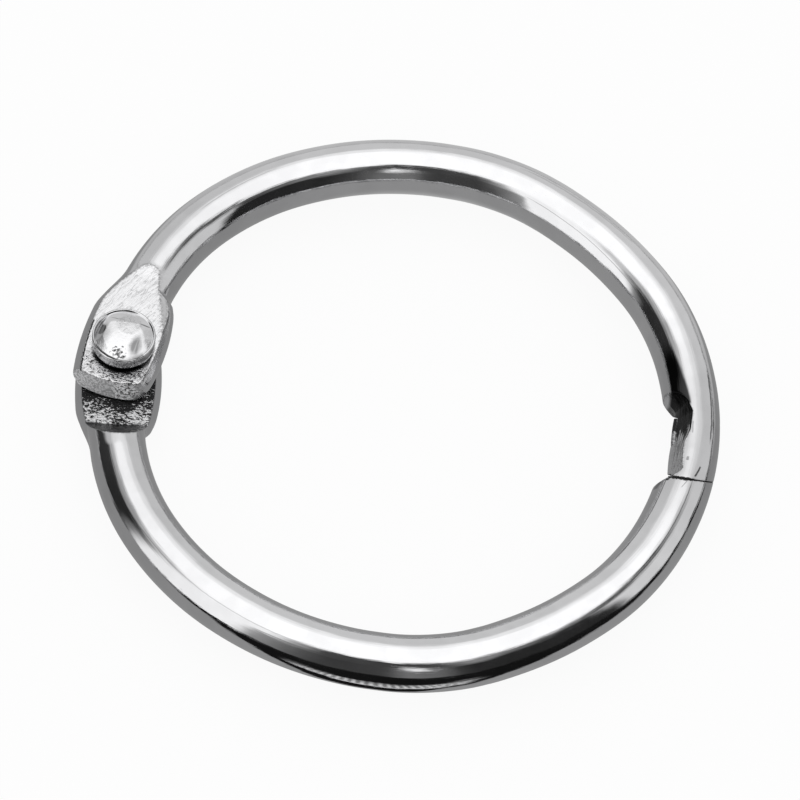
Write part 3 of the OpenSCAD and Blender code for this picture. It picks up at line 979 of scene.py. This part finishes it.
def room_world(light):
    """Even light on the ring, a plain white room for the camera, and in the plate a lamp overhead and dark corners."""
    world = bpy.data.worlds.new("room")
    bpy.context.scene.world = world
    world.use_nodes = True
    world.node_tree.nodes.clear()
    w = Sheet(world.node_tree)
    x, y, z = w.split(w.add("ShaderNodeTexCoord")["Generated"])
    # turn round from the front, as a share of the full circle, and degrees up from the horizon
    turn = w.maths("FRACT", w.maths("ARCTAN2", x, -1 * y) / (2 * math.pi) + 1)
    lift = w.maths("ARCSINE", z) * (180 / math.pi)
    low, high = (w.add("ShaderNodeRGBToBW", {0: w.add("ShaderNodeValToRGB", {0: turn}, stops=stops)})[0]
                 for stops in (ROOM_LOW, ROOM_HIGH))
    rise = w.between(lift, 38, 48)
    front = w.near(turn - 0.5, 0.30, 0.46)
    over = w.between(lift - 7 * front, 52, 60)
    room = (low * (1 - rise) + high * rise) * (1 - over) + light.overhead * over
    gleam = w.near(turn - 0.042, 0.014, 0.008) * w.near(lift - 38, 9, 5)
    room = room + 0.85 * gleam
    # a dark skirting, but for the left front
    beside = w.near(turn - 0.85, 0.05, 0.06)
    behind = w.near(turn - 0.5, 0.10, 0.16, 0.55, 1)
    room = room * (1 - 0.8 * beside * behind * w.between(lift, 3.5, 2.2))
    camera, shiny = seen_by(w)
    strength = camera + (1 - camera) * (shiny * room + (1 - shiny) * light.level)
    back = w.add("ShaderNodeBackground", {"Color": (1, 1, 1, 1), "Strength": strength})
    w.add("ShaderNodeOutputWorld", {0: back})


# the bench that the plate shows, by millimetres right of and behind the ring's middle
BENCH_EDGE = -15.3
STRIP_AT = -16.7
TOOTH_PITCH = 0.5
# the floor's half-width and its distance under the ring, in metres
FLOOR_HALF = 3.0
FLOOR_GAP = 0.02 * MM
# the floor's share of plain white for the camera, the rest of it keeping the ring's shadow
FLOOR_WHITE = 0.92


def floor_material():
    """Pale floor that keeps the ring's shadow, and a mid-gray bench in the plate, with a painted shadow in front of the
    ring.
    """
    material, m = blank_material("floor")
    x, y, _ = m.split(m.add("ShaderNodeTexCoord")["Object"])
    x, y = x / MM, y / MM
    # a painted shadow on the bench in front of the ring, seen only in the plate
    right, left = (x - 4).most(0), (-3 - x).most(0)
    edge = 0.0145 * right * right - 0.38 * left + BENCH_EDGE - m.near(x - 0.5, 2, 4.5, 0, 0.75)
    dark = m.between(edge - y, -0.08, 0.10)
    # in the dark, a thin pale strip and a comb of pale teeth in front of it
    line = STRIP_AT - 0.011 * (x - 1).most(0) ** 2 - 0.05 * (1 - x).most(0) ** 2
    near = m.between(x, -6, -3.5) * m.between(x, 9, 6)
    strip = m.near(line - y, 0.16, 0.08) * near
    teeth = 0.35 + 0.65 * m.between(m.maths("SINE", x * (2 * math.pi / TOOTH_PITCH)), -0.2, 0.6)
    comb = teeth * m.between(line - y, 0.1, 0.3) * m.between(line - y, 2.6, 0.6) * near
    back = m.between(y, 11, 15)
    bench = (0.32 + 0.26 * back) * (1 - dark) + 0.008 * dark + 0.85 * strip + 0.75 * comb
    camera, shiny = seen_by(m)
    pale = m.add("ShaderNodeBsdfDiffuse", {"Color": (0.9, 0.9, 0.9, 1)})
    lit = m.add("ShaderNodeEmission", {"Color": (1, 1, 1, 1), "Strength": camera + (1 - camera) * bench})
    mixed = m.add("ShaderNodeMixShader", {0: FLOOR_WHITE * camera + shiny * (1 - camera), 1: pale, 2: lit})
    m.add("ShaderNodeOutputMaterial", {0: mixed})
    return material


def floor_mesh():
    """A square floor just under the ring."""
    mesh = bpy.data.meshes.new("floor")
    corners = [(x * FLOOR_HALF, y * FLOOR_HALF) for x, y in ((-1, -1), (1, -1), (1, 1), (-1, 1))]
    mesh.from_pydata([(x, y, CAD_BOX[0][2] - FLOOR_GAP) for x, y in corners], [], [(0, 1, 2, 3)])
    return mesh


# the camera: turned about the ring's axis, raised over the ring, rolled, its distance, and the shift of its frame
VIEW_TURN = math.radians(0.93)
VIEW_RISE = math.radians(57.86)
VIEW_ROLL = math.radians(7.77)
VIEW_FAR = 216.8 * MM
VIEW_SHIFT = (-0.0023, 0.0076)


def add_camera(light):
    """Point the camera at the ring's middle."""
    camera = linked("camera", bpy.data.cameras.new("camera"))
    turn = Matrix.Rotation(VIEW_TURN, 3, "Z")
    back = turn @ Vector((0, -math.cos(VIEW_RISE), math.sin(VIEW_RISE)))
    right = turn @ Vector((1, 0, 0))
    up = turn @ Vector((0, math.sin(VIEW_RISE), math.cos(VIEW_RISE)))
    c, s = math.cos(VIEW_ROLL), math.sin(VIEW_ROLL)
    right, up = c * right + s * up, c * up - s * right
    camera.matrix_world = Matrix.Translation(VIEW_FAR * back) @ Matrix((right, up, back)).transposed().to_4x4()
    camera.data.sensor_width = 36
    camera.data.lens = light.lens
    camera.data.shift_x, camera.data.shift_y = VIEW_SHIFT
    camera.data.clip_start, camera.data.clip_end = 0.01, 50
    bpy.context.scene.camera = camera


# ---------------------------------------------------------------- operators


def add_piece(name, mesh, material, body, node):
    """Link a finished piece, tied to its body and the CAD node that it stands for."""
    piece = linked(name, mesh)
    mesh.materials.clear()
    mesh.materials.append(material)
    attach(piece, body)
    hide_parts(node)
    return piece


class RING_OT_halves(bpy.types.Operator):
    """Make the two wire halves, one and the same pressed part"""

    bl_idname = "ring.halves"
    bl_label = "Wire Halves"

    def execute(self, context):
        scene = context.scene
        upper_plate = wire_plate("upper_plate", scene.ring_finish, 1.0, 1)
        lower_plate = wire_plate("lower_plate", scene.ring_finish, 21.0, -1)
        mesh = ring_mesh(scene.ring_sizes, upper_plate)
        other = mesh.copy()
        other.transform(Matrix.Rotation(math.pi, 4, "X"))
        add_piece("upper_ring_half", mesh, upper_plate, "upper_body", "upper_half")
        add_piece("lower_ring_half", other, lower_plate, "lower_body", "lower_half")
        return {"FINISHED"}


class RING_OT_rivet(bpy.types.Operator):
    """Make the hinge rivet with its two heads"""

    bl_idname = "ring.rivet"
    bl_label = "Hinge Rivet"

    def execute(self, context):
        plate = rivet_plate("rivet_plate", context.scene.ring_finish, 41.0)
        add_piece("hinge_rivet", rivet_mesh(), plate, "upper_body", "rivet")
        return {"FINISHED"}


class RING_OT_stage(bpy.types.Operator):
    """Set the camera, the floor and the light"""

    bl_idname = "ring.stage"
    bl_label = "Stage"

    def execute(self, context):
        light = context.scene.ring_light
        add_camera(light)
        room_world(light)
        floor = linked("floor", floor_mesh())
        floor.data.materials.append(floor_material())
        context.scene.view_settings.view_transform = "Standard"
        return {"FINISHED"}


class RING_PT_panel(bpy.types.Panel):
    """Everything that makes up the ring"""

    bl_idname = "RING_PT_panel"
    bl_label = "Binder Ring"
    bl_space_type = "VIEW_3D"
    bl_region_type = "UI"
    bl_category = "Ring"

    def draw(self, context):
        for group in GROUPS:
            box = self.layout.box()
            for name in GROUPS[group].__annotations__:
                box.prop(getattr(context.scene, group), name)
        for operator in ("ring.stage", "ring.halves", "ring.rivet"):
            self.layout.operator(operator)


GROUPS = {"ring_sizes": RingSizes, "ring_finish": PlateFinish, "ring_light": StageLight}
CLASSES = (*GROUPS.values(), RING_OT_halves, RING_OT_rivet, RING_OT_stage, RING_PT_panel)


def register():
    for kind in CLASSES:
        bpy.utils.register_class(kind)
    for name, group in GROUPS.items():
        setattr(bpy.types.Scene, name, PointerProperty(type=group))


def unregister():
    for name in GROUPS:
        delattr(bpy.types.Scene, name)
    for kind in reversed(CLASSES):
        bpy.utils.unregister_class(kind)


def main():
    register()
    bpy.ops.ring.stage()
    bpy.ops.ring.halves()
    bpy.ops.ring.rivet()


if __name__ == "__main__":
    main()
